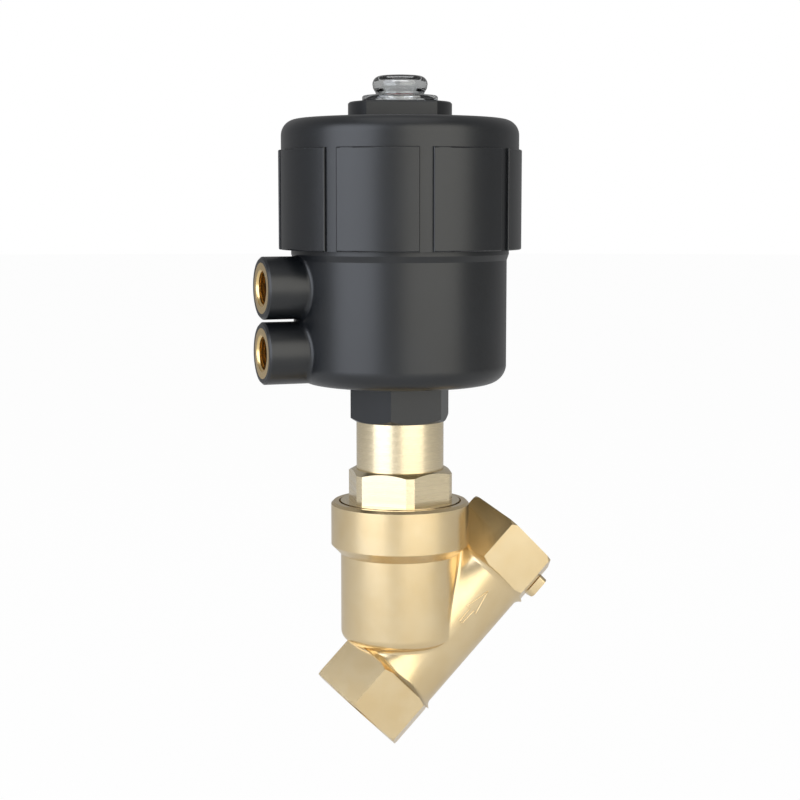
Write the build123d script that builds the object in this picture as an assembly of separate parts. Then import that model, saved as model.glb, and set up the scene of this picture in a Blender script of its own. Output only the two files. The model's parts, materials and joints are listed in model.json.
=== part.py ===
from build123d import *
import os
from math import cos, pi, radians, sin, sqrt

# Pneumatic angle seat valve, normally closed. A cast Y body carries two female threaded ports
# on a sloping pipe. A turned nipple is screwed into its collar and holds the stem packing.
# The actuator sits on the nipple: a moulded housing with two pilot ports, a spring-loaded
# piston, a screwed cover with grip panels and a clear cap over the position indicator.
# Millimetres. +Z runs up the stem. The origin is where the stem axis crosses the pipe axis.
# The pipe rises at 45 degrees in the XZ plane, from the inlet on the -X side.

# ---------------------------------------------------------------- driving dimensions
# pipe and its threaded ends
pipe_angle = 45.0              # pipe axis above +X
body_length = 65.0             # over the two port faces
inlet_reach = 17.75            # stem axis to the inlet face, along the pipe
pipe_radius = 13.3
port_thread_radius = 9.315     # G 1/2 minor radius
port_thread_depth = 13.0
port_mouth_chamfer = 1.1
hex_flats = 27.0
hex_length = 13.8
hex_face_radius = 14.9         # round face left by the end chamfers
hex_back_radius = 13.5
hex_outer_taper = 1.0
hex_inner_taper = 1.4
neck_radius = 14.5             # cast flare from the pipe up to the hexagon's back
neck_length = 2.0
inlet_bore_radius = 6.8
outlet_bore_radius = 7.6
outlet_bore_start = 15.0       # along the pipe, beyond the seat
ident_pad_length = 6.4         # small cast pad under the outlet hexagon
ident_pad_width = 5.0
ident_pad_height = 2.4
ident_pad_from_face = 3.0
ident_pad_round = 1.2

# chamber, collar and seat
chamber_radius = 16.05
chamber_wall = 3.05
chamber_base_height = 6.0      # underside of the chamber above the pipe axis crossing
chamber_base_round = 3.0
chamber_height = 26.7          # underside of the chamber to the collar
chamber_floor_thickness = 3.5
seat_lip_height = 1.0
seat_lip_width = 2.0
seat_bore_radius = 6.5
collar_radius = 18.65
collar_length = 11.7
collar_cone_length = 2.6
collar_edge = 0.7
cast_round = 1.2

# nipple screwed into the collar
nipple_thread_radius = 15.4
nipple_thread_clearance = 0.1
nipple_thread_length = 8.8
bonnet_seal_thickness = 1.5
bonnet_seal_clearance = 0.2
nipple_flange_radius = 16.1
nipple_flange_thickness = 1.4
nipple_flange_gap = 0.45
nipple_flange_sink = 1.2
nipple_hex_flats = 26.0
nipple_hex_radius = 14.4
nipple_hex_height = 8.8
nipple_hex_turn = 20.5         # where the thread happened to tighten
nipple_hex_chamfer = 1.1
tube_radius = 11.75
tube_shoulder_play = 0.05      # housing's foot above the shoulder it stands on
tube_neck_radius = 10.5
packing_bore_radius = 8.5
tube_o_ring_section = 1.8
tube_o_ring_drop = 5.0         # below the housing's base
snap_ring_groove_depth = 0.8
nipple_lip_thickness = 4.0

# stem packing
stem_radius = 5.0
stem_clearance = 0.06
lip_clearance = 0.6
packing_fit = 0.05
support_ring_height = 2.6
chevron_count = 4
chevron_thickness = 1.5
chevron_depth = 1.1
pressure_ring_height = 2.6
packing_spring_length = 9.0
packing_spring_wire = 1.3
packing_spring_turns = 4
guide_bush_height = 6.0
gland_nut_height = 4.0
gland_slot_width = 2.0

# actuator housing
housing_bore_radius = 25.0
housing_wall = 3.45
housing_base_height = 76.6
housing_floor_thickness = 4.0
housing_base_round = 5.0
housing_rim_gap = 3.7          # below the cover's ceiling
housing_hex_flats = 24.4
housing_hex_height = 10.3
housing_hex_chamfer = 1.2
swivel_clearance = 0.06
o_ring_clearance = 0.03
collar_ring_step = 0.55
collar_ring_height = 1.2
collar_ring_taper = 1.6
snap_ring_thickness = 1.4
snap_ring_width = 2.6
snap_ring_land = 0.8
snap_ring_gap = 5.0
snap_ring_end_play = 0.05

# pilot air ports
pilot_lower_rise = 8.8         # above the housing's base
pilot_spacing = 17.0
pilot_reach = 38.5             # stem axis to the face of the bosses
pilot_boss_radius = 8.2
pilot_boss_chamfer = 0.5
pilot_boss_round = 1.2
pilot_insert_radius = 6.65
pilot_insert_length = 9.5
pilot_insert_floor = 1.0
pilot_thread_radius = 4.283    # G 1/8 minor radius
pilot_mouth_chamfer = 0.6
pilot_duct_radius = 2.0

# cover
cover_wall = 2.93
cover_boss_gap = 1.6           # pilot boss to the cover's rim
cover_height = 34.1
cover_top_round = 4.2
cover_top_thickness = 3.0
cover_fit = 0.12
panel_thickness = 0.75
panel_height = 26.1
panel_count = 8
panel_gap_angle = 6.2
panel_turn = -8.5              # angle of a gap from -Y, where the cover tightened
panel_edge = 0.35
boss_radius = 13.75
boss_flats = 20.5
boss_height = 4.5
boss_edge = 0.4
boss_turn = -17.8              # where the flats face, from -Y
cover_o_ring_section = 2.4
cover_o_ring_drop = 6.6        # below the housing's rim

# indicator cap
cap_flange_radius = 10.0
cap_flange_thickness = 1.7
cap_skirt_radius = 7.5
cap_skirt_depth = 5.8
cap_skirt_clearance = 0.1
cap_bore_radius = 5.6
cap_neck_radius = 6.4
cap_dome_radius = 7.3
cap_dome_rise = 6.9            # above the cover's boss
cap_dome_round = 2.2
cap_crown_thickness = 1.5
cap_dome_draft = 0.25
cap_waist_rise = 0.6
cap_waist_flare = 0.9
cap_flange_edge = 0.4
cap_o_ring_rise = 2.2
cap_o_ring_section = 1.4

# piston and stem
stroke = 8.0
piston_rest_gap = 1.15         # above the top of the tube
piston_hub_radius = 9.5
piston_hub_height = 14.0
piston_web_height = 4.0        # underside of the web above the hub's foot
piston_web_thickness = 3.5
piston_rim_height = 8.5
piston_rim_thickness = 3.3
piston_clearance = 0.2
seal_clearance = 0.05
piston_seal_height = 2.8
piston_seal_depth = 2.6
piston_seal_rise = 1.2
guide_ring_height = 2.0
guide_ring_depth = 1.1
guide_ring_rise = 5.4
piston_rod_radius = 4.0
piston_washer_thickness = 1.2
piston_nut_flats = 13.0
piston_nut_height = 6.0
rod_tip_radius = 3.0
rod_tip_length = 8.5
rod_chamfer = 0.5

# return springs
outer_spring_radius = 18.6
outer_spring_wire = 3.0
outer_spring_turns = 6
inner_spring_radius = 12.6
inner_spring_wire = 2.2
inner_spring_turns = 7
spring_plate_thickness = 1.5
spring_plate_radius = 22.5
spring_plate_bore = 10.0

# position indicator
indicator_radius = 4.6
indicator_head_length = 4.6
indicator_rest_drop = 3.0      # head's top below the boss's top
indicator_rod_radius = 2.6
indicator_socket_radius = 4.4
indicator_socket_length = 8.0
indicator_fit = 0.05
indicator_socket_taper = 3.0
indicator_head_taper = 1.0
indicator_edge = 0.6

# valve disc
disc_radius = 10.0
disc_height = 11.5
disc_rim_height = 3.4
disc_rim_taper = 1.0
disc_neck_radius = 7.8
disc_bottom_rim = 0.9          # the rim stops this far above the seat
seat_seal_radius = 9.1
seat_seal_thickness = 2.8
disc_socket_depth = 5.2
disc_socket_clearance = 0.1
retainer_radius = 5.4
retainer_thickness = 1.4
disc_screw_radius = 2.0
disc_screw_head_flats = 7.0
disc_screw_head_height = 2.6
disc_screw_end_gap = 0.8
disc_pin_inset = 0.6
disc_pin_radius = 1.25
disc_pin_rise = 2.6            # pin axis above the socket's floor

overcut = 1.0                  # how far a cut runs past a face, and a rib starts inside a wall

# ---------------------------------------------------------------- levels that follow
chamber_floor = chamber_base_height + chamber_floor_thickness
chamber_bore_radius = chamber_radius - chamber_wall
seat_height = chamber_floor + seat_lip_height
collar_base = chamber_base_height + chamber_height
collar_top_height = collar_base + collar_length
flange_seat = collar_top_height - nipple_flange_sink
nipple_foot = flange_seat - nipple_thread_length
bonnet_ledge = nipple_foot - bonnet_seal_thickness
tube_shoulder_height = housing_base_height - housing_hex_height - tube_shoulder_play
collar_bore_radius = nipple_thread_radius + nipple_thread_clearance
nipple_hex_base = flange_seat + nipple_flange_thickness
nipple_hex_top = nipple_hex_base + nipple_hex_height
packing_base = nipple_foot + nipple_lip_thickness
chevron_base = packing_base + support_ring_height
pressure_base = chevron_base + chevron_count * chevron_thickness
packing_spring_base = pressure_base + pressure_ring_height
guide_bush_base = packing_spring_base + packing_spring_length
gland_nut_base = guide_bush_base + guide_bush_height
housing_radius = housing_bore_radius + housing_wall
collar_ring_radius = housing_radius + collar_ring_step
housing_floor = housing_base_height + housing_floor_thickness
snap_ring_base = housing_floor + snap_ring_end_play
tube_top_height = snap_ring_base + snap_ring_thickness + snap_ring_land
piston_base_height = tube_top_height + piston_rest_gap
pilot_lower_height = housing_base_height + pilot_lower_rise
pilot_upper_height = pilot_lower_height + pilot_spacing
cover_base_height = pilot_upper_height + pilot_boss_radius + cover_boss_gap
cover_top_height = cover_base_height + cover_height
cover_radius = housing_radius + cover_fit + cover_wall
panel_radius = cover_radius + panel_thickness
panel_top_height = cover_base_height + panel_height
cover_ceiling = cover_top_height - cover_top_thickness
housing_rim_height = cover_ceiling - housing_rim_gap
cover_o_ring_height = housing_rim_height - cover_o_ring_drop
boss_top = cover_top_height + boss_height
cap_dome_top = boss_top + cap_dome_rise
indicator_head_rest = boss_top - indicator_rest_drop
piston_web_base = piston_base_height + piston_web_height
piston_web_top = piston_web_base + piston_web_thickness
piston_hub_top = piston_base_height + piston_hub_height
piston_radius = housing_bore_radius - piston_clearance
piston_nut_base = piston_hub_top + piston_washer_thickness
rod_tip_base = piston_nut_base + piston_nut_height
spring_top = cover_ceiling - spring_plate_thickness
indicator_head_base = indicator_head_rest - indicator_head_length
disc_socket_floor = seat_height + disc_height - disc_socket_depth
disc_pin_height = disc_socket_floor + disc_pin_rise
hex_corner = hex_flats / sqrt(3)
disc_screw_seat = seat_height - retainer_thickness
disc_screw_top = disc_socket_floor - disc_screw_end_gap
spindle_foot = disc_socket_floor + disc_socket_clearance
tube_o_ring_centre = (tube_neck_radius + swivel_clearance - o_ring_clearance
                      - tube_o_ring_section / 2)
cover_o_ring_centre = housing_radius + cover_fit - cover_o_ring_section / 2
cover_o_ring_floor = cover_o_ring_centre - cover_o_ring_section / 2
cap_o_ring_centre = cap_skirt_radius + cap_skirt_clearance - cap_o_ring_section / 2
cap_o_ring_floor = cap_o_ring_centre - cap_o_ring_section / 2

pipe_plane = Plane(origin=(0, 0, 0), x_dir=(0, 1, 0),
                   z_dir=(cos(radians(pipe_angle)), 0, sin(radians(pipe_angle))))
BOTTOM = (Align.CENTER, Align.CENTER, Align.MIN)


# ---------------------------------------------------------------- helpers
def turned(profile):
    """A full turn about Z of an outline given as (radius, height) points."""
    return revolve(make_face(Plane.XZ * Polyline(*profile, close=True)), Axis.Z)


def tube(outer, inner, low, high):
    """A plain ring or bush between two heights."""
    return turned([(inner, low), (outer, low), (outer, high), (inner, high)])


def rod(radius, low, high):
    """A plain round bar between two heights."""
    return Pos(0, 0, low) * Cylinder(radius, high - low, align=BOTTOM)


def hex_prism(flats, low, high, turn=0.0):
    """A hexagonal bar between two heights. At turn 0 a corner points along +X."""
    outline = RegularPolygon(flats / sqrt(3), 6, rotation=turn)
    return Pos(0, 0, low) * extrude(outline, high - low)


def o_ring(radius, section, height):
    """A round-section ring whose section centre is at that radius."""
    return Pos(0, 0, height) * Torus(radius, section / 2)


def coil_spring(radius, wire, low, high, turns, lefthand=False):
    """A compression spring that touches both seats, with round wire."""
    half = wire / 2
    pitch = (high - low - wire) / turns
    path = Helix(pitch, high - low - wire, radius, center=(0, 0, low + half), lefthand=lefthand)
    start = Plane(origin=path @ 0, z_dir=path % 0)
    return sweep(start * Circle(half), path, is_frenet=True)


def along_pipe(shape):
    """Places a shape that was made about Z so that it lies along the pipe axis."""
    return pipe_plane.location * shape


# ---------------------------------------------------------------- valve body casting
def port_end(face_at, inward):
    """One hexagonal end with its neck, along the pipe. inward is +1 or -1."""
    def at(distance):
        return face_at + inward * distance
    hexagon = RegularPolygon(hex_corner, 6, rotation=30)
    base = min(at(0), at(hex_length))
    bar = Pos(0, 0, base) * extrude(hexagon, hex_length)
    barrel = turned([
        (0, at(0)), (hex_face_radius, at(0)), (hex_corner, at(hex_outer_taper)),
        (hex_corner, at(hex_length - hex_inner_taper)), (hex_back_radius, at(hex_length)),
        (0, at(hex_length))])
    root = at(hex_length + neck_length)
    shoulder = at(hex_length - hex_inner_taper / 2)
    middle = (pipe_radius + (neck_radius - pipe_radius) * (1 - sin(pi / 4)),
              shoulder + (root - shoulder) * (1 - cos(pi / 4)))
    flare = Plane.XZ * (
        Polyline((pipe_radius, root), (0, root), (0, shoulder), (neck_radius, shoulder))
        + ThreePointArc((neck_radius, shoulder), middle, (pipe_radius, root)))
    return (bar & barrel) + revolve(make_face(flare), Axis.Z)


def threaded_mouth(face_at, inward):
    """The space of one tapped port: mouth chamfer and thread bore."""
    def at(distance):
        return face_at + inward * distance
    wide = port_thread_radius + port_mouth_chamfer
    return turned([
        (0, at(-overcut)), (wide, at(-overcut)), (wide, at(0)), (port_thread_radius, at(port_mouth_chamfer)),
        (port_thread_radius, at(port_thread_depth)), (0, at(port_thread_depth))])


def make_valve_body():
    outlet_reach = body_length - inlet_reach
    chamber = rod(chamber_radius, chamber_base_height, collar_base)
    chamber = fillet(chamber.edges().group_by(Axis.Z)[0], chamber_base_round)
    crossing = collar_base / sin(radians(pipe_angle))
    web = chamber + along_pipe(rod(pipe_radius, -pipe_radius, crossing))
    creases = web.edges().filter_by(
        lambda edge: edge.geom_type in (GeomType.BSPLINE, GeomType.ELLIPSE))
    web = fillet(creases, cast_round)
    collar = turned([
        (0, collar_base - collar_cone_length), (chamber_radius, collar_base - collar_cone_length),
        (collar_radius, collar_base), (collar_radius, collar_top_height - collar_edge),
        (collar_radius - collar_edge, collar_top_height), (0, collar_top_height)])
    pipe = rod(pipe_radius, hex_length / 2 - inlet_reach, outlet_reach - hex_length / 2)
    ends = port_end(-inlet_reach, 1) + port_end(outlet_reach, -1)
    pad_at = outlet_reach - ident_pad_from_face - ident_pad_length / 2
    pad = Pos(0, -hex_corner, pad_at) * Box(ident_pad_width, ident_pad_height, ident_pad_length)
    pad = fillet(pad.edges().filter_by(Axis.Y), ident_pad_round)
    body = web + along_pipe(pipe) + collar + along_pipe(ends + pad)

    body -= rod(chamber_bore_radius, chamber_floor, collar_top_height)
    body -= rod(collar_bore_radius, bonnet_ledge, collar_top_height)
    body -= rod(nipple_flange_radius + nipple_flange_gap, flange_seat, collar_top_height)
    body -= along_pipe(threaded_mouth(-inlet_reach, 1) + threaded_mouth(outlet_reach, -1))
    body -= along_pipe(rod(inlet_bore_radius, -inlet_reach, seat_bore_radius / 2))
    body -= along_pipe(rod(outlet_bore_radius, outlet_bore_start, outlet_reach))
    body += tube(seat_bore_radius + seat_lip_width, seat_bore_radius, chamber_floor, seat_height)
    body -= rod(seat_bore_radius, 0, seat_height)
    return body


# ---------------------------------------------------------------- nipple and stem packing
def make_bonnet_nipple():
    o_ring_at = housing_base_height - tube_o_ring_drop
    groove_floor = tube_o_ring_centre - tube_o_ring_section / 2
    ring_inner = tube_neck_radius - snap_ring_groove_depth
    blank = turned([
        (stem_radius + lip_clearance, nipple_foot), (nipple_thread_radius, nipple_foot),
        (nipple_thread_radius, flange_seat), (nipple_flange_radius, flange_seat),
        (nipple_flange_radius, nipple_hex_base), (tube_radius, nipple_hex_base),
        (tube_radius, tube_shoulder_height), (tube_neck_radius, tube_shoulder_height),
        (tube_neck_radius, tube_top_height), (packing_bore_radius, tube_top_height),
        (packing_bore_radius, packing_base), (stem_radius + lip_clearance, packing_base)])
    bar = hex_prism(nipple_hex_flats, nipple_hex_base, nipple_hex_top, nipple_hex_turn)
    barrel = turned([
        (packing_bore_radius, nipple_hex_base), (nipple_hex_radius, nipple_hex_base),
        (nipple_hex_radius, nipple_hex_top - nipple_hex_chamfer),
        (nipple_hex_flats / 2 - nipple_hex_chamfer / 2, nipple_hex_top),
        (packing_bore_radius, nipple_hex_top)])
    grooves = tube(tube_neck_radius, groove_floor, o_ring_at - tube_o_ring_section / 2,
                   o_ring_at + tube_o_ring_section / 2)
    grooves += tube(tube_neck_radius, ring_inner, snap_ring_base,
                    snap_ring_base + snap_ring_thickness)
    return blank + (bar & barrel) - grooves


def make_packing_vrings():
    """A stack of chevron rings. Each one nests on the one below with a shallow V."""
    inner = stem_radius + packing_fit
    outer = packing_bore_radius - packing_fit
    middle = (inner + outer) / 2
    rings = []
    for step in range(chevron_count):
        low = chevron_base + step * chevron_thickness
        high = low + chevron_thickness
        rings.append(turned([
            (inner, low), (middle, low + chevron_depth), (outer, low),
            (outer, high), (middle, high + chevron_depth), (inner, high)]))
    return Compound(rings)


def make_support_ring():
    inner, outer = stem_radius + packing_fit, packing_bore_radius - packing_fit
    return turned([
        (inner, packing_base), (outer, packing_base), (outer, chevron_base),
        ((inner + outer) / 2, chevron_base + chevron_depth), (inner, chevron_base)])


def make_pressure_ring():
    inner, outer = stem_radius + packing_fit, packing_bore_radius - packing_fit
    return turned([
        (inner, pressure_base), ((inner + outer) / 2, pressure_base + chevron_depth),
        (outer, pressure_base), (outer, packing_spring_base), (inner, packing_spring_base)])


def make_gland_nut():
    nut = tube(packing_bore_radius - packing_fit, stem_radius + lip_clearance,
               gland_nut_base, gland_nut_base + gland_nut_height)
    slot = Pos(0, 0, gland_nut_base + gland_nut_height) * Box(
        2 * packing_bore_radius, gland_slot_width, gland_nut_height)
    return nut - slot


def make_snap_ring():
    inner = tube_neck_radius - snap_ring_groove_depth
    ring = tube(inner + snap_ring_width, inner, snap_ring_base,
                snap_ring_base + snap_ring_thickness)
    gap = Pos(-inner, 0, snap_ring_base) * Box(2 * snap_ring_width, snap_ring_gap,
                                               snap_ring_thickness, align=BOTTOM)
    return ring - gap


# ---------------------------------------------------------------- actuator housing and cover
def add_pilot_boss(shell, height):
    """The shell with one pilot boss, blended into its wall."""
    boss = rod(pilot_boss_radius, 0, pilot_reach)
    boss = chamfer(boss.edges().group_by(Axis.Z)[-1], pilot_boss_chamfer)
    joined = shell + Pos(0, 0, height) * Rot(0, -90, 0) * boss
    root = joined.edges().filter_by(GeomType.BSPLINE)
    return fillet(root, pilot_boss_round)


def make_housing():
    shell = rod(housing_radius, housing_base_height, housing_rim_height)
    shell = fillet(shell.edges().group_by(Axis.Z)[0], housing_base_round)
    shell = add_pilot_boss(shell, pilot_lower_height) + add_pilot_boss(shell, pilot_upper_height)
    ring_base = cover_base_height - collar_ring_height
    shell += turned([
        (0, ring_base - collar_ring_taper), (housing_radius, ring_base - collar_ring_taper),
        (collar_ring_radius, ring_base), (collar_ring_radius, cover_base_height),
        (0, cover_base_height)])
    hex_base = housing_base_height - housing_hex_height
    hex_radius = housing_hex_flats / sqrt(3)
    barrel = turned([
        (0, hex_base), (housing_hex_flats / 2, hex_base),
        (hex_radius, hex_base + housing_hex_chamfer), (hex_radius, housing_base_height + overcut),
        (0, housing_base_height + overcut)])
    shell += hex_prism(housing_hex_flats, hex_base, housing_base_height + overcut) & barrel
    shell -= rod(housing_bore_radius, housing_floor, housing_rim_height)
    shell -= rod(tube_neck_radius + swivel_clearance, hex_base, housing_floor)
    for height in (pilot_lower_height, pilot_upper_height):
        bore_floor = pilot_reach - pilot_insert_length
        bore = rod(pilot_insert_radius, bore_floor, pilot_reach)
        bore += rod(pilot_duct_radius, housing_bore_radius - overcut, bore_floor)
        shell -= Pos(0, 0, height) * Rot(0, -90, 0) * bore
    shell -= tube(housing_radius + overcut, cover_o_ring_floor,
                  cover_o_ring_height - cover_o_ring_section / 2,
                  cover_o_ring_height + cover_o_ring_section / 2)
    return shell


def make_pilot_insert(height):
    insert = turned([
        (pilot_duct_radius, 0), (pilot_insert_radius, 0),
        (pilot_insert_radius, pilot_insert_length),
        (pilot_thread_radius + pilot_mouth_chamfer, pilot_insert_length),
        (pilot_thread_radius, pilot_insert_length - pilot_mouth_chamfer),
        (pilot_thread_radius, pilot_insert_floor), (pilot_duct_radius, pilot_insert_floor)])
    return Pos(pilot_insert_length - pilot_reach, 0, height) * Rot(0, -90, 0) * insert


def make_cover():
    profile = Plane.XZ * Polyline(
        (0, cover_base_height), (cover_radius, cover_base_height),
        (cover_radius, cover_top_height), (0, cover_top_height), close=True)
    shell = revolve(make_face(profile), Axis.Z)
    shell = fillet(shell.edges().group_by(Axis.Z)[-1], cover_top_round)
    pitch = 360 / panel_count
    root = cover_radius - overcut
    section = make_face(Plane.XZ * Polyline(
        (root, cover_base_height), (panel_radius, cover_base_height),
        (panel_radius, panel_top_height), (root, panel_top_height), close=True))
    panel = revolve(section, Axis.Z, revolution_arc=pitch - panel_gap_angle)
    outer_edges = panel.edges().filter_by(
        lambda edge: abs(sqrt(edge.center().X ** 2 + edge.center().Y ** 2) - panel_radius) < 0.01)
    panel = fillet(outer_edges, panel_edge)
    for index in range(panel_count):
        shell += Rot(0, 0, -90 + panel_turn + panel_gap_angle / 2 + index * pitch) * panel
    boss = rod(boss_radius, cover_top_height, boss_top)
    boss &= Pos(0, 0, cover_top_height) * Rot(0, 0, boss_turn) * Box(
        2 * boss_radius + overcut, boss_flats, boss_height, align=BOTTOM)
    boss = chamfer(boss.edges().group_by(Axis.Z)[-1], boss_edge)
    shell += boss
    shell -= rod(housing_radius + cover_fit, cover_base_height, cover_ceiling)
    shell -= rod(cap_skirt_radius + cap_skirt_clearance, boss_top - cap_skirt_depth, boss_top)
    shell -= rod(cap_bore_radius, cover_ceiling, boss_top)
    return shell


def make_indicator_cap():
    """Clear cap: skirt in the cover's bore, flange on the boss, waisted dome."""
    skirt_foot = boss_top - cap_skirt_depth
    flange_top = boss_top + cap_flange_thickness
    waist = flange_top + cap_waist_rise
    groove = skirt_foot + cap_o_ring_rise
    outline = [
        (0, cap_dome_top), (cap_dome_radius - cap_dome_round, cap_dome_top),
        (cap_dome_radius - cap_dome_round * (1 - sin(pi / 4)),
         cap_dome_top - cap_dome_round * (1 - sin(pi / 4))),
        (cap_dome_radius, cap_dome_top - cap_dome_round),
        (cap_dome_radius - cap_dome_draft, waist + cap_waist_flare), (cap_neck_radius, waist),
        (cap_neck_radius, flange_top),
        (cap_flange_radius - cap_flange_edge, flange_top),
        (cap_flange_radius, flange_top - cap_flange_edge),
        (cap_flange_radius, boss_top), (cap_skirt_radius, boss_top),
        (cap_skirt_radius, groove + cap_o_ring_section / 2),
        (cap_o_ring_floor, groove + cap_o_ring_section / 2),
        (cap_o_ring_floor, groove - cap_o_ring_section / 2),
        (cap_skirt_radius, groove - cap_o_ring_section / 2), (cap_skirt_radius, skirt_foot),
        (cap_bore_radius, skirt_foot), (cap_bore_radius, cap_dome_top - cap_crown_thickness),
        (0, cap_dome_top - cap_crown_thickness)]
    return turned(outline)


# ---------------------------------------------------------------- piston, stem and indicator
def make_spindle():
    """One turned bar: disc end, long guide, piston seat, thread end and indicator tip."""
    bar = turned([
        (0, spindle_foot), (stem_radius - rod_chamfer, spindle_foot),
        (stem_radius, spindle_foot + rod_chamfer), (stem_radius, piston_base_height),
        (piston_rod_radius, piston_base_height), (piston_rod_radius, rod_tip_base),
        (rod_tip_radius, rod_tip_base), (rod_tip_radius, rod_tip_base + rod_tip_length),
        (0, rod_tip_base + rod_tip_length)])
    return bar - Pos(0, 0, disc_pin_height) * Rot(90, 0, 0) * Cylinder(
        disc_pin_radius, 4 * stem_radius)


def make_valve_disc():
    rim_base = seat_height + disc_bottom_rim
    rim_top = rim_base + disc_rim_height
    top = seat_height + disc_height
    seal_top = seat_height + seat_seal_thickness
    disc = turned([
        (0, seal_top), (seat_seal_radius, seal_top), (seat_seal_radius, rim_base),
        (disc_radius, rim_base), (disc_radius, rim_top), (disc_neck_radius, rim_top + disc_rim_taper),
        (disc_neck_radius, top), (stem_radius + disc_socket_clearance, top),
        (stem_radius + disc_socket_clearance, disc_socket_floor), (0, disc_socket_floor)])
    disc -= rod(disc_screw_radius, seal_top, disc_screw_top)
    return disc - Pos(0, 0, disc_pin_height) * Rot(90, 0, 0) * Cylinder(
        disc_pin_radius, 3 * disc_radius)


def make_disc_screw():
    head_base = disc_screw_seat - disc_screw_head_height
    head = hex_prism(disc_screw_head_flats, head_base, disc_screw_seat)
    return head + rod(disc_screw_radius, disc_screw_seat, disc_screw_top)


def make_piston():
    """Hub, web and rim with two grooves, for the lip seal and the guide ring."""
    rim_top = piston_web_base + piston_rim_height
    inner = piston_radius - piston_rim_thickness
    seal_base = piston_web_base + piston_seal_rise
    guide_base = piston_web_base + guide_ring_rise
    blank = turned([
        (piston_rod_radius, piston_base_height), (piston_hub_radius, piston_base_height),
        (piston_hub_radius, piston_web_base), (piston_radius, piston_web_base),
        (piston_radius, rim_top), (inner, rim_top), (inner, piston_web_top),
        (piston_hub_radius, piston_web_top), (piston_hub_radius, piston_hub_top),
        (piston_rod_radius, piston_hub_top)])
    blank -= tube(piston_radius + overcut, piston_radius - piston_seal_depth, seal_base,
                  seal_base + piston_seal_height)
    blank -= tube(piston_radius + overcut, piston_radius - guide_ring_depth, guide_base,
                  guide_base + guide_ring_height)
    return blank


def make_piston_seal():
    """Lip seal: a U section whose lips point down at the pressure side."""
    outer = housing_bore_radius - seal_clearance
    inner = piston_radius - piston_seal_depth
    low = piston_web_base + piston_seal_rise
    high = low + piston_seal_height
    lip = (outer - inner) / 3
    return turned([
        (inner, low), (inner + lip, low), ((inner + outer) / 2, high - lip), (outer - lip, low),
        (outer, low), (outer, high - lip), (piston_radius, high), (inner, high)])


def make_piston_nut():
    nut = hex_prism(piston_nut_flats, piston_nut_base, rod_tip_base)
    return nut - rod(piston_rod_radius, piston_nut_base, rod_tip_base)


def make_indicator():
    """A red pusher on the spindle's tip. Its head shows in the clear cap when the valve opens."""
    socket_top = rod_tip_base + indicator_socket_length
    bore = rod_tip_radius + indicator_fit
    return turned([
        (bore, rod_tip_base), (indicator_socket_radius, rod_tip_base),
        (indicator_socket_radius, socket_top), (indicator_rod_radius, socket_top + indicator_socket_taper),
        (indicator_rod_radius, indicator_head_base - indicator_head_taper),
        (indicator_radius, indicator_head_base),
        (indicator_radius, indicator_head_rest - indicator_edge),
        (indicator_radius - indicator_edge, indicator_head_rest),
        (0, indicator_head_rest), (0, rod_tip_base + rod_tip_length + indicator_fit),
        (bore, rod_tip_base + rod_tip_length + indicator_fit)])


def main():
    os.makedirs("parts", exist_ok=True)
    nodes = {
        "valve_body": make_valve_body(),
        "bonnet_seal": tube(nipple_thread_radius, chamber_bore_radius + bonnet_seal_clearance,
                            bonnet_ledge, nipple_foot),
        "bonnet_nipple": make_bonnet_nipple(),
        "packing_support_ring": make_support_ring(),
        "packing_vrings": make_packing_vrings(),
        "packing_pressure_ring": make_pressure_ring(),
        "packing_spring": coil_spring(
            (stem_radius + packing_bore_radius) / 2, packing_spring_wire, packing_spring_base,
            guide_bush_base, packing_spring_turns),
        "stem_guide_bush": tube(packing_bore_radius - packing_fit, stem_radius + stem_clearance,
                                guide_bush_base, gland_nut_base),
        "gland_nut": make_gland_nut(),
        "tube_o_ring": o_ring(tube_o_ring_centre, tube_o_ring_section,
                              housing_base_height - tube_o_ring_drop),
        "housing_snap_ring": make_snap_ring(),
        "actuator_housing": make_housing(),
        "pilot_insert_lower": make_pilot_insert(pilot_lower_height),
        "pilot_insert_upper": make_pilot_insert(pilot_upper_height),
        "cover_o_ring": o_ring(cover_o_ring_centre, cover_o_ring_section, cover_o_ring_height),
        "actuator_cover": make_cover(),
        "spring_plate": tube(spring_plate_radius, spring_plate_bore, spring_top, cover_ceiling),
        "indicator_cap": make_indicator_cap(),
        "cap_o_ring": o_ring(cap_o_ring_centre, cap_o_ring_section,
                             boss_top - cap_skirt_depth + cap_o_ring_rise),
        "spindle": make_spindle(),
        "valve_disc": make_valve_disc(),
        "seat_seal": tube(seat_seal_radius, disc_screw_radius, seat_height,
                          seat_height + seat_seal_thickness),
        "seal_retainer": tube(retainer_radius, disc_screw_radius, disc_screw_seat, seat_height),
        "disc_screw": make_disc_screw(),
        "disc_pin": Pos(0, 0, disc_pin_height) * Rot(90, 0, 0) * Cylinder(
            disc_pin_radius, 2 * disc_neck_radius - disc_pin_inset),
        "piston": make_piston(),
        "piston_seal": make_piston_seal(),
        "piston_guide_ring": tube(
            housing_bore_radius - seal_clearance, piston_radius - guide_ring_depth,
            piston_web_base + guide_ring_rise,
            piston_web_base + guide_ring_rise + guide_ring_height),
        "piston_washer": tube(piston_nut_flats / 2, piston_rod_radius, piston_hub_top,
                              piston_nut_base),
        "piston_nut": make_piston_nut(),
        "indicator_rod": make_indicator(),
        "outer_return_spring": coil_spring(outer_spring_radius, outer_spring_wire,
                                           piston_web_top, spring_top, outer_spring_turns),
        "inner_return_spring": coil_spring(inner_spring_radius, inner_spring_wire,
                                           piston_web_top, spring_top, inner_spring_turns,
                                           lefthand=True),
    }
    for name, shape in nodes.items():
        export_step(shape, f"parts/{name}.step")


main()
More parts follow.
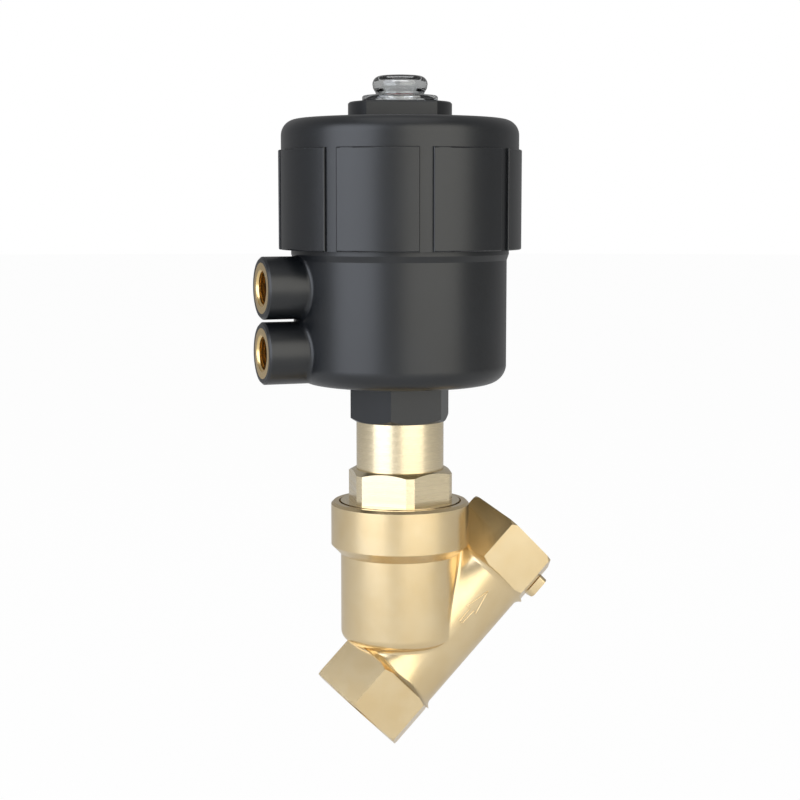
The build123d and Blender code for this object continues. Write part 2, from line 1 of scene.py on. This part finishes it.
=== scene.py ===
# %% [markdown]
# # An angle seat valve, finished in Blender
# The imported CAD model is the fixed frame: it gives every part its size and place. This script
# adds what a CAD model leaves out, such as cut threads, the cast flow arrow and the surfaces
# that casting, turning and moulding leave behind.

# %% Load the frame
import json
import math

import bpy
from mathutils import Matrix, Vector


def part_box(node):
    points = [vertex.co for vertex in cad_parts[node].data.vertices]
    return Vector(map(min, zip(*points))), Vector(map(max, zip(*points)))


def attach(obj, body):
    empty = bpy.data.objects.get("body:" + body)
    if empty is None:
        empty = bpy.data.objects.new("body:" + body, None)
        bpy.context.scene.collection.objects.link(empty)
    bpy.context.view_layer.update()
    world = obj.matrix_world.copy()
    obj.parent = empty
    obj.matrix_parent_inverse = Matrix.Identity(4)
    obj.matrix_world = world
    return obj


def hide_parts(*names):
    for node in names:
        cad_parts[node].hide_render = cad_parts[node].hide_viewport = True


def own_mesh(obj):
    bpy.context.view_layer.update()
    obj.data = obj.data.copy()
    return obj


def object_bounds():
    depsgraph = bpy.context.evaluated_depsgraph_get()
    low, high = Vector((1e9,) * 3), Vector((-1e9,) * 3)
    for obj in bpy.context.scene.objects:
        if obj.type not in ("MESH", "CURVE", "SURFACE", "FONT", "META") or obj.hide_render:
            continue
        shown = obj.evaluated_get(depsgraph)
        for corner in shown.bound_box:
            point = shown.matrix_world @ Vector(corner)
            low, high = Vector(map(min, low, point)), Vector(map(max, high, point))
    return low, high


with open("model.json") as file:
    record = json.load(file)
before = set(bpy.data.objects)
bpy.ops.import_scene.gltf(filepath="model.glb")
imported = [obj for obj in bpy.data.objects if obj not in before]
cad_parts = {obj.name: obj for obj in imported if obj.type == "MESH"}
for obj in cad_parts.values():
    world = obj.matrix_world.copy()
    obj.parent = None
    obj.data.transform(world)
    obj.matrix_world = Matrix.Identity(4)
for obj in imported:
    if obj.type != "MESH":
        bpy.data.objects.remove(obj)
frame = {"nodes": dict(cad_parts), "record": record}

cad_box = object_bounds()
cad = frame["nodes"]
mounts = {mount["name"]: mount for mount in frame["record"]["mounts"]}
MM = 0.001
print("CAD box in mm:", [[round(v / MM, 1) for v in corner] for corner in cad_box])

# %% [markdown]
# ## Colour and node helpers
# Colours are chosen as they look on a screen, so they are written as sRGB hex values. The
# shader works in linear light, so one function converts them. A second one adds a node, sets
# its properties and its sockets, and links whatever is already a socket.

# %% Two small helpers
def linear(hex_code, alpha=1.0):
    """An sRGB hex value as linear RGBA."""
    parts = [int(hex_code[i:i + 2], 16) / 255 for i in (1, 3, 5)]
    return [c / 12.92 if c <= 0.04045 else ((c + 0.055) / 1.055) ** 2.4 for c in parts] + [alpha]


def add_node(tree, kind, sockets=None, **settings):
    """Adds one node with its settings. A socket's value is a number, a colour or another socket."""
    node = tree.nodes.new(kind)
    for key, value in settings.items():
        setattr(node, key, value)
    for name, value in (sockets or {}).items():
        if isinstance(value, bpy.types.NodeSocket):
            tree.links.new(value, node.inputs[name])
        else:
            node.inputs[name].default_value = value
    return node


def new_finish(name):
    """An empty material. Returns it with its tree, its shader and its object coordinates."""
    material = bpy.data.materials.new(name)
    material.use_nodes = True
    tree = material.node_tree
    shader = tree.nodes["Principled BSDF"]
    place = add_node(tree, "ShaderNodeTexCoord").outputs["Object"]
    return material, tree, shader, place


# %% [markdown]
# ## Gunmetal, sand cast
# The Y body is cast in gunmetal, a red brass, and then shot blasted. That leaves a satin skin
# of fine grains, a little darker where it has aged. The grains are about 0.1 mm on the real
# skin. They are drawn at 0.25 mm, because finer ones would vanish at this distance.

# %% Cast gunmetal
cast_gunmetal, tree, shader, place = new_finish("cast_gunmetal")
patches = add_node(tree, "ShaderNodeTexNoise", {"Vector": place, "Scale": 1 / (9 * MM),
                                                "Detail": 4.0, "Roughness": 0.6})
tone = add_node(tree, "ShaderNodeValToRGB", {"Fac": patches.outputs["Fac"]})
tone.color_ramp.elements[0].position, tone.color_ramp.elements[0].color = 0.35, linear("#dbc397")
tone.color_ramp.elements[1].position, tone.color_ramp.elements[1].color = 0.65, linear("#e0cba3")
tree.links.new(tone.outputs["Color"], shader.inputs["Base Color"])
grains = add_node(tree, "ShaderNodeTexNoise", {"Vector": place, "Scale": 1 / (0.25 * MM),
                                               "Detail": 3.0, "Roughness": 0.6})
gloss = add_node(tree, "ShaderNodeMapRange", {"Value": grains.outputs["Fac"], "To Min": 0.2,
                                              "To Max": 0.3})
tree.links.new(gloss.outputs["Result"], shader.inputs["Roughness"])
skin = add_node(tree, "ShaderNodeBump", {"Height": grains.outputs["Fac"], "Strength": 0.12,
                                         "Distance": 0.02 * MM})
tree.links.new(skin.outputs["Normal"], shader.inputs["Normal"])
shader.inputs["Metallic"].default_value = 1.0

# %% [markdown]
# ## Gunmetal, turned
# The nipple is turned from bar. The tool leaves fine rings round the stem axis, one for each
# 0.1 mm of feed. They are drawn at 0.35 mm so that they still show as a soft grain.

# %% Turned gunmetal
turned_gunmetal, tree, shader, place = new_finish("turned_gunmetal")
rings = add_node(tree, "ShaderNodeTexWave", {"Vector": place, "Scale": 1 / (20 * 0.35 * MM),
                                             "Distortion": 0.4, "Detail": 2.0},
                 wave_type="BANDS", bands_direction="Z")
sheen = add_node(tree, "ShaderNodeMapRange", {"Value": rings.outputs["Fac"], "To Min": 0.22,
                                              "To Max": 0.3})
tree.links.new(sheen.outputs["Result"], shader.inputs["Roughness"])
feed = add_node(tree, "ShaderNodeBump", {"Height": rings.outputs["Fac"], "Strength": 0.12,
                                         "Distance": 0.01 * MM})
tree.links.new(feed.outputs["Normal"], shader.inputs["Normal"])
shader.inputs["Base Color"].default_value = linear("#e6d6b4")
shader.inputs["Metallic"].default_value = 1.0

# %% [markdown]
# ## Brass, cut bright
# The pilot inserts are small brass turnings. They are yellower and brighter than the casting.

# %% Insert brass
insert_brass, tree, shader, place = new_finish("insert_brass")
marks = add_node(tree, "ShaderNodeTexNoise", {"Vector": place, "Scale": 1 / (0.4 * MM),
                                              "Detail": 2.0})
sheen = add_node(tree, "ShaderNodeMapRange", {"Value": marks.outputs["Fac"], "To Min": 0.16,
                                              "To Max": 0.26})
tree.links.new(sheen.outputs["Result"], shader.inputs["Roughness"])
shader.inputs["Base Color"].default_value = linear("#e2c48a")
shader.inputs["Metallic"].default_value = 1.0

# %% [markdown]
# ## Polyamide, moulded black
# The actuator is moulded in glass-filled polyamide. The mould is spark eroded, so the skin is
# satin with a very fine grain. Its black is never quite black, and it takes a soft sheen.

# %% Black polyamide
black_polyamide, tree, shader, place = new_finish("black_polyamide")
flow = add_node(tree, "ShaderNodeTexNoise", {"Vector": place, "Scale": 1 / (14 * MM),
                                             "Detail": 3.0})
tone = add_node(tree, "ShaderNodeValToRGB", {"Fac": flow.outputs["Fac"]})
tone.color_ramp.elements[0].position, tone.color_ramp.elements[0].color = 0.3, linear("#0a0c0f")
tone.color_ramp.elements[1].position, tone.color_ramp.elements[1].color = 0.7, linear("#0e1115")
tree.links.new(tone.outputs["Color"], shader.inputs["Base Color"])
spark = add_node(tree, "ShaderNodeTexNoise", {"Vector": place, "Scale": 1 / (0.2 * MM),
                                              "Detail": 2.0})
gloss = add_node(tree, "ShaderNodeMapRange", {"Value": spark.outputs["Fac"], "To Min": 0.3,
                                              "To Max": 0.4})
tree.links.new(gloss.outputs["Result"], shader.inputs["Roughness"])
skin = add_node(tree, "ShaderNodeBump", {"Height": spark.outputs["Fac"], "Strength": 0.15,
                                         "Distance": 0.02 * MM})
tree.links.new(skin.outputs["Normal"], shader.inputs["Normal"])
shader.inputs["IOR"].default_value = 1.53

# %% [markdown]
# ## Polycarbonate, clear
# The cap is injection moulded in clear polycarbonate. It bends what is behind it and shows the
# light as sharp arcs, and it is only a touch rough.

# %% Clear polycarbonate
clear_polycarbonate, tree, shader, place = new_finish("clear_polycarbonate")
haze = add_node(tree, "ShaderNodeTexNoise", {"Vector": place, "Scale": 1 / (2 * MM)})
gloss = add_node(tree, "ShaderNodeMapRange", {"Value": haze.outputs["Fac"], "To Min": 0.02,
                                              "To Max": 0.06})
tree.links.new(gloss.outputs["Result"], shader.inputs["Roughness"])
shader.inputs["Base Color"].default_value = linear("#f6f8f8")
shader.inputs["IOR"].default_value = 1.585
shader.inputs["Transmission Weight"].default_value = 1.0

# %% [markdown]
# ## The finishes inside
# Most of these parts only show in the ports or through the cap. Each still gets the finish
# that its material has: bright turned stainless, drawn spring wire, white PTFE, black rubber
# and a red pusher of moulded acetal.

# %% Stainless, wire, PTFE, rubber and acetal
def plain_finish(name, hex_code, rough_low, rough_high, grain_mm, metallic=0.0, ior=1.5):
    """One colour with a roughness that varies over grains of that size."""
    material, tree, shader, place = new_finish(name)
    grain = add_node(tree, "ShaderNodeTexNoise", {"Vector": place, "Scale": 1 / (grain_mm * MM),
                                                  "Detail": 2.0})
    gloss = add_node(tree, "ShaderNodeMapRange", {"Value": grain.outputs["Fac"],
                                                  "To Min": rough_low, "To Max": rough_high})
    tree.links.new(gloss.outputs["Result"], shader.inputs["Roughness"])
    skin = add_node(tree, "ShaderNodeBump", {"Height": grain.outputs["Fac"], "Strength": 0.1,
                                             "Distance": 0.02 * MM})
    tree.links.new(skin.outputs["Normal"], shader.inputs["Normal"])
    shader.inputs["Base Color"].default_value = linear(hex_code)
    shader.inputs["Metallic"].default_value = metallic
    if not metallic:
        shader.inputs["IOR"].default_value = ior
    return material


stainless_turned = plain_finish("stainless_turned", "#c9c8c4", 0.18, 0.3, 0.4, metallic=1.0)
spring_wire = plain_finish("spring_wire", "#8f9296", 0.3, 0.42, 0.5, metallic=1.0)
ptfe = plain_finish("ptfe_turned", "#e9e9e4", 0.45, 0.6, 0.6, ior=1.38)
rubber = plain_finish("nitrile_rubber", "#191919", 0.5, 0.65, 0.4, ior=1.52)
acetal_red = plain_finish("acetal_red", "#b3241c", 0.3, 0.4, 0.8, ior=1.48)

# %% Put a finish on every CAD node
finish_of_slot = {
    "cast_brass": cast_gunmetal, "turned_brass": turned_gunmetal, "insert_brass": insert_brass,
    "black_plastic": black_polyamide, "clear_plastic": clear_polycarbonate,
    "stainless": stainless_turned, "spring_steel": spring_wire, "ptfe": ptfe, "rubber": rubber,
    "indicator_red": acetal_red}
for part in frame["record"]["subparts"]:
    holder = cad[part["node"]]
    holder.data.materials.clear()
    holder.data.materials.append(finish_of_slot[part["material_slot"]])

# %% [markdown]
# ## Cut threads
# A tapped hole is a plain bore in the CAD, at the thread's minor radius. A tap leaves a spiral
# groove in that wall. The groove is made the way a tap makes it: a coil with a triangular
# section is cut out of a copy of the part. The Screw modifier sweeps the triangle round the
# axis, and a Boolean takes it away. The coil's two ends are filled, so that it is a solid.

# %% Helpers for cutting a thread
MERGE = 0.001 * MM                       # points closer than this are one point


def only(obj):
    """Selects one object and makes it active."""
    bpy.ops.object.select_all(action="DESELECT")
    obj.select_set(True)
    bpy.context.view_layer.objects.active = obj
    return obj


def apply_modifier(obj, kind, **settings):
    """Adds a modifier to an object and applies it."""
    only(obj)
    step = obj.modifiers.new(kind.lower(), kind)
    for key, value in settings.items():
        setattr(step, key, value)
    bpy.ops.object.modifier_apply(modifier=step.name)


def copy_of_node(node, name):
    """A new piece with a copy of a CAD node's mesh, merged, without its stored normals."""
    twin = bpy.data.objects.new(name, cad[node].data.copy())
    bpy.context.collection.objects.link(twin)
    only(twin)
    bpy.ops.object.mode_set(mode="EDIT")
    bpy.ops.mesh.select_all(action="SELECT")
    bpy.ops.mesh.remove_doubles(threshold=MERGE)
    bpy.ops.object.mode_set(mode="OBJECT")
    bpy.ops.mesh.customdata_custom_splitnormals_clear()
    return twin


def close_sweep(coil):
    """Makes a solid of a swept profile: merged, its two ends filled, its normals outward."""
    only(coil)
    bpy.ops.object.mode_set(mode="EDIT")
    bpy.ops.mesh.select_all(action="SELECT")
    bpy.ops.mesh.remove_doubles(threshold=MERGE)
    bpy.ops.mesh.fill_holes(sides=0)
    bpy.ops.mesh.select_all(action="SELECT")
    bpy.ops.mesh.normals_make_consistent(inside=False)
    bpy.ops.object.mode_set(mode="OBJECT")


def thread_coil(minor, pitch, turns):
    """A solid coil about Z that starts at height 0 and runs down, as a tap's cutting edge runs."""
    depth = 0.64 * pitch                     # of a Whitworth-form pipe thread
    half_width = 0.42 * pitch                # of the groove, at the coil's foot
    overlap = 0.15 * MM                      # the coil starts inside the bore
    steps = 64                               # facets in one turn
    bpy.ops.object.select_all(action="DESELECT")
    bpy.ops.mesh.primitive_circle_add(vertices=3, radius=1.0, fill_type="NOTHING")
    coil = bpy.context.active_object
    tip = Vector((minor + depth, 0, 0))
    foot = minor - overlap
    for vertex, place in zip(coil.data.vertices, (
            tip, Vector((foot, 0, half_width)), Vector((foot, 0, -half_width)))):
        vertex.co = place
    apply_modifier(coil, "SCREW", axis="Z", angle=2 * math.pi, screw_offset=-pitch,
                   iterations=turns, steps=steps, render_steps=steps,
                   use_normal_calculate=True)
    close_sweep(coil)
    return coil


def tap(piece, mouth, outwards, minor, pitch, turns):
    """Cuts one thread into a piece. The mouth is the centre of the hole's face."""
    coil = thread_coil(minor, pitch, turns)
    coil.matrix_world = (Matrix.Translation(mouth + outwards * pitch / 2)
                         @ outwards.to_track_quat("Z", "Y").to_matrix().to_4x4())
    only(coil)
    bpy.ops.object.transform_apply(location=True, rotation=True)
    apply_modifier(piece, "BOOLEAN", operation="DIFFERENCE", object=coil, solver="EXACT")
    bpy.data.objects.remove(coil)


def finish_piece(piece, body, material, smooth_angle=25):
    """Gives a new piece its finish, slot and body, and shades it smooth below an angle."""
    only(piece)
    bpy.ops.object.shade_smooth_by_angle(angle=math.radians(smooth_angle))
    piece.data.materials.clear()
    piece.data.materials.append(material)
    for face in piece.data.polygons:
        face.material_index = 0
    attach(piece, body)
    print(piece.name, "triangles:", sum(len(f.vertices) - 2 for f in piece.data.polygons))


# %% [markdown]
# ## The tapped body and the pilot inserts
# The pipe ports take a G 1/2 thread, with 14 turns to the inch. The pilot inserts take G 1/8,
# with 28 turns to the inch. The port faces are where the mounts point out of the part.

# %% Tap the pipe ports
INCH = 25.4 * MM
PORT_TURNS, PILOT_TURNS = 7, 9           # full turns that the taps reach
body_piece = copy_of_node("valve_body", "tapped_body")
for port in ("inlet_port", "outlet_port"):
    mount = mounts[port]
    outwards = Vector(mount["axis"]).normalized()
    face_reach = max(outwards.dot(vertex.co) for vertex in cad["valve_body"].data.vertices)
    tap(body_piece, outwards * face_reach, outwards, mount["dims"]["r_mm"] * MM, INCH / 14,
        PORT_TURNS)

finish_piece(body_piece, "valve", cast_gunmetal)
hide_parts("valve_body")

# %% Tap the pilot inserts
for level in ("lower", "upper"):
    node = f"pilot_insert_{level}"
    mount = mounts[f"pilot_port_{level}"]
    outwards = Vector(mount["axis"])
    insert = copy_of_node(node, f"tapped_insert_{level}")
    mouth = Vector((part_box(node)[0].x, 0, mount["pos_m"][2]))
    tap(insert, mouth, outwards, mount["dims"]["r_mm"] * MM, INCH / 28, PILOT_TURNS)
    finish_piece(insert, "actuator", insert_brass)
    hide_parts(node)

# %% [markdown]
# ## The cast flow arrow
# The pattern carries a raised outline of an arrow on the pipe, which points at the outlet. It
# is a closed line bent round the pipe's wall. Each point has a distance along the pipe and a
# distance round it, both in millimetres, and a little tube is swept along the line.

# %% The flow arrow
PIPE_WALL = 13.3 * MM
RIB_RADIUS = 0.17 * MM
BENDS = 6                                # short straight steps in each side of the outline
ALONG = Vector((1, 0, 1)).normalized()
FRONT, SIDE = Vector((0, -1, 0)), Vector((-1, 0, 1)).normalized()
half_arrow = [(28.8, 0.0), (22.0, 1.75), (22.3, 0.65), (17.9, 0.5), (17.7, 0.0)]
outline = half_arrow + [(along, -across) for along, across in reversed(half_arrow[1:-1])]
path = []
for (start, side), (end, next_side) in zip(outline, outline[1:] + outline[:1]):
    path += [(start + (end - start) * k / BENDS, side + (next_side - side) * k / BENDS)
             for k in range(BENDS)]
line = bpy.data.curves.new("flow_arrow", "CURVE")
line.dimensions, line.bevel_depth, line.bevel_resolution = "3D", RIB_RADIUS, 2
stroke = line.splines.new("POLY")
stroke.points.add(len(path) - 1)
stroke.use_cyclic_u = True
for point, (along, across) in zip(stroke.points, path):
    turn = across * MM / PIPE_WALL
    wall = (FRONT * math.cos(turn) + SIDE * math.sin(turn)) * PIPE_WALL
    point.co = [*(ALONG * along * MM + wall), 1.0]
arrow = bpy.data.objects.new("flow_arrow", line)
bpy.context.collection.objects.link(arrow)
only(arrow)
bpy.ops.object.convert(target="MESH")
arrow = bpy.context.active_object
finish_piece(arrow, "valve", cast_gunmetal, smooth_angle=60)

# %% [markdown]
# ## The clear cap
# The cap is a small hollow dome with a flange. It is modelled as a stack of rings: a circle is
# extruded, moved and resized again and again, down the outside and back up the inside. Clear
# plastic shows every edge, so this piece has rounder ones than the CAD solid: the crown is an
# arc, and the waist, the flange and the foot are eased with short slopes.

# %% The clear cap
def stack_rings(name, rings, sides=96):
    """A closed shell made of rings. Each ring is (radius, height) in millimetres."""
    bpy.ops.object.select_all(action="DESELECT")
    radius, height = rings[0]
    bpy.ops.mesh.primitive_circle_add(vertices=sides, radius=radius * MM, fill_type="NGON",
                                      location=(0, 0, height * MM))
    shell = bpy.context.active_object
    shell.name = name
    bpy.ops.object.transform_apply(location=True)
    bpy.ops.object.mode_set(mode="EDIT")
    bpy.ops.mesh.select_all(action="SELECT")
    for next_radius, next_height in rings[1:]:
        bpy.ops.mesh.extrude_edges_move(
            TRANSFORM_OT_translate={"value": (0, 0, (next_height - height) * MM)})
        scale = next_radius / radius
        bpy.ops.transform.resize(value=(scale, scale, 1), center_override=(0, 0, 0))
        radius, height = next_radius, next_height
    bpy.ops.mesh.edge_face_add()
    bpy.ops.mesh.select_all(action="SELECT")
    bpy.ops.mesh.normals_make_consistent(inside=False)
    bpy.ops.object.mode_set(mode="OBJECT")
    return shell


foot, crown = (corner.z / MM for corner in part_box("indicator_cap"))
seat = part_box("actuator_cover")[1].z / MM                # the top of the cover's boss
DOME, DOME_ROUND, WAIST = 7.3, 2.2, 6.4                  # radii, in millimetres
FLANGE, FLANGE_TOP = 10.0, seat + 1.7
SKIRT, BORE, EASE = 7.5, 5.6, 0.2
dome = [(DOME - DOME_ROUND + DOME_ROUND * math.sin(t), crown - DOME_ROUND + DOME_ROUND * math.cos(t))
        for t in [math.radians(15 * k) for k in range(7)]]
waist = [(DOME - 0.2, seat + 3.6), (WAIST + 0.15, seat + 2.7), (WAIST, seat + 2.3),
         (WAIST + 0.2, seat + 1.9), (WAIST + 0.5, FLANGE_TOP)]
flange = [(FLANGE - 0.3, FLANGE_TOP), (FLANGE, FLANGE_TOP - 0.3), (FLANGE, seat + EASE),
          (FLANGE - EASE, seat)]
skirt = [(SKIRT, seat), (SKIRT, foot + EASE), (SKIRT - EASE, foot)]
outside = dome + waist + flange + skirt
inside = [(BORE + EASE, foot), (BORE, foot + EASE), (BORE, crown - 2.4),
          (BORE - 0.2, crown - 1.85), (BORE - 0.7, crown - 1.55), (BORE - 1.4, crown - 1.5)]
cap = stack_rings("clear_cap", outside + inside)
finish_piece(cap, "actuator", clear_polycarbonate, smooth_angle=50)
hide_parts("indicator_cap")

# %% [markdown]
# ## The return springs
# Two nested coils push the piston down. They are wound in opposite directions so that they
# can't catch in each other. They have to get shorter as the stem rises. Here each coil is a
# fixed piece of its own, wound to the length of the CAD spring and attached to the stem.

# %% The return springs
OUTER_WIRE, INNER_WIRE = 3.0 * MM, 2.2 * MM


def wind_spring(name, node, wire, turns, hand):
    """A coil between the piston and the spring plate. Hand is 1 or -1."""
    low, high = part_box(node)
    coil_radius = high.x - wire / 2
    steps = 40                               # facets in one turn
    pitch = (high.z - low.z - wire) / turns
    bpy.ops.object.select_all(action="DESELECT")
    bpy.ops.mesh.primitive_circle_add(vertices=14, radius=wire / 2, fill_type="NOTHING",
                                      rotation=(math.pi / 2, 0, 0),
                                      location=(coil_radius, 0, low.z + wire / 2))
    spring = bpy.context.active_object
    spring.name = name
    bpy.ops.object.transform_apply(location=True, rotation=True)
    apply_modifier(spring, "SCREW", axis="Z", angle=hand * 2 * math.pi, screw_offset=pitch,
                   iterations=turns, steps=steps, render_steps=steps)
    close_sweep(spring)
    finish_piece(spring, "stem", spring_wire, smooth_angle=50)
    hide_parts(node)
    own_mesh(spring)


wind_spring("outer_coil", "outer_return_spring", OUTER_WIRE, 6, 1)
wind_spring("inner_coil", "inner_return_spring", INNER_WIRE, 7, -1)

# %% [markdown]
# ## Floor, light and camera
# A valve this small is lit with two tall soft boxes, one on each side of the camera, and a
# weak one above. The gap between the boxes gives turned metal its darker middle band.
# The floor and the room each have two sides. The camera sees both as nearly plain white,
# while the valve is lit by, and mirrors, a pale matt floor and a dimmer room.

# %% The floor
FLOOR_DROP = 30 * MM                     # below the valve's lowest point
PLAIN_WHITE = 0.97                       # share of plain white in what the camera sees
bpy.ops.object.select_all(action="DESELECT")
bpy.ops.mesh.primitive_circle_add(vertices=96, radius=6.0, fill_type="NGON",
                                  location=(0, 0, cad_box[0].z - FLOOR_DROP))
floor = bpy.context.active_object
floor.name = "floor"
bpy.ops.object.transform_apply(location=True)
pale_floor, tree, shader, place = new_finish("pale_floor")
shader.inputs["Base Color"].default_value = linear("#f5f5f5")
shader.inputs["Roughness"].default_value = 0.9
lit = add_node(tree, "ShaderNodeEmission", {"Color": linear("#ffffff"), "Strength": 1.0})
seen = add_node(tree, "ShaderNodeLightPath").outputs["Is Camera Ray"]
share = add_node(tree, "ShaderNodeMath", {0: seen, 1: PLAIN_WHITE}, operation="MULTIPLY")
both = add_node(tree, "ShaderNodeMixShader", {"Fac": share.outputs[0], 1: shader.outputs[0],
                                              2: lit.outputs[0]})
tree.links.new(both.outputs[0], tree.nodes["Material Output"].inputs["Surface"])
floor.data.materials.append(pale_floor)

# %% The world and the soft boxes
world = bpy.data.worlds.new("studio")
bpy.context.scene.world = world
world.use_nodes = True
tree = world.node_tree
tree.nodes.clear()
seen = add_node(tree, "ShaderNodeLightPath").outputs["Is Camera Ray"]
room = add_node(tree, "ShaderNodeBackground", {"Color": linear("#ffffff"), "Strength": 0.36})
backdrop = add_node(tree, "ShaderNodeBackground", {"Color": linear("#ffffff"), "Strength": 1.0})
both = add_node(tree, "ShaderNodeMixShader", {"Fac": seen, 1: room.outputs[0],
                                              2: backdrop.outputs[0]})
add_node(tree, "ShaderNodeOutputWorld", {"Surface": both.outputs[0]})

AIM = Vector((0.0, 0.0, 71.7 * MM))      # the middle of the valve, on the stem axis
CAMERA_SIDE = math.radians(-20.5)
CAMERA_RISE = math.radians(6.5)
CAMERA_DISTANCE = 458 * MM


def direction(side, rise):
    """A unit vector from the valve towards a light or camera. Side 0 is along -Y."""
    return Vector((math.sin(side) * math.cos(rise), -math.cos(side) * math.cos(rise),
                   math.sin(rise)))


def soft_box(name, side, rise, distance, width, height, power, tint):
    """A rectangular area light that faces the valve. Side is measured from the camera."""
    lamp = bpy.data.lights.new(name, "AREA")
    lamp.shape, lamp.size, lamp.size_y = "RECTANGLE", width, height
    lamp.energy, lamp.color = power, linear(tint)[:3]
    holder = bpy.data.objects.new(name, lamp)
    bpy.context.collection.objects.link(holder)
    towards = direction(CAMERA_SIDE + math.radians(side), math.radians(rise))
    holder.location = AIM + towards * distance
    holder.rotation_euler = towards.to_track_quat("Z", "Y").to_euler()
    return holder


soft_box("soft_box_left", -47, 8, 0.9, 0.85, 1.3, 10.5, "#eef4ff")
soft_box("soft_box_right", 34, 8, 0.9, 1.1, 1.3, 9.0, "#fffdf4")
soft_box("soft_box_top", 0, 80, 1.0, 0.8, 0.8, 1.5, "#ffffff")

# %% The camera
bpy.context.scene.view_settings.view_transform = "Standard"
lens = bpy.data.cameras.new("camera")
lens.lens, lens.sensor_width = 76.5, 36.0
camera = bpy.data.objects.new("camera", lens)
bpy.context.collection.objects.link(camera)
back = direction(CAMERA_SIDE, CAMERA_RISE)
camera.location = AIM + back * CAMERA_DISTANCE
camera.rotation_euler = back.to_track_quat("Z", "Y").to_euler()
lens.clip_start = 0.01
bpy.context.scene.camera = camera
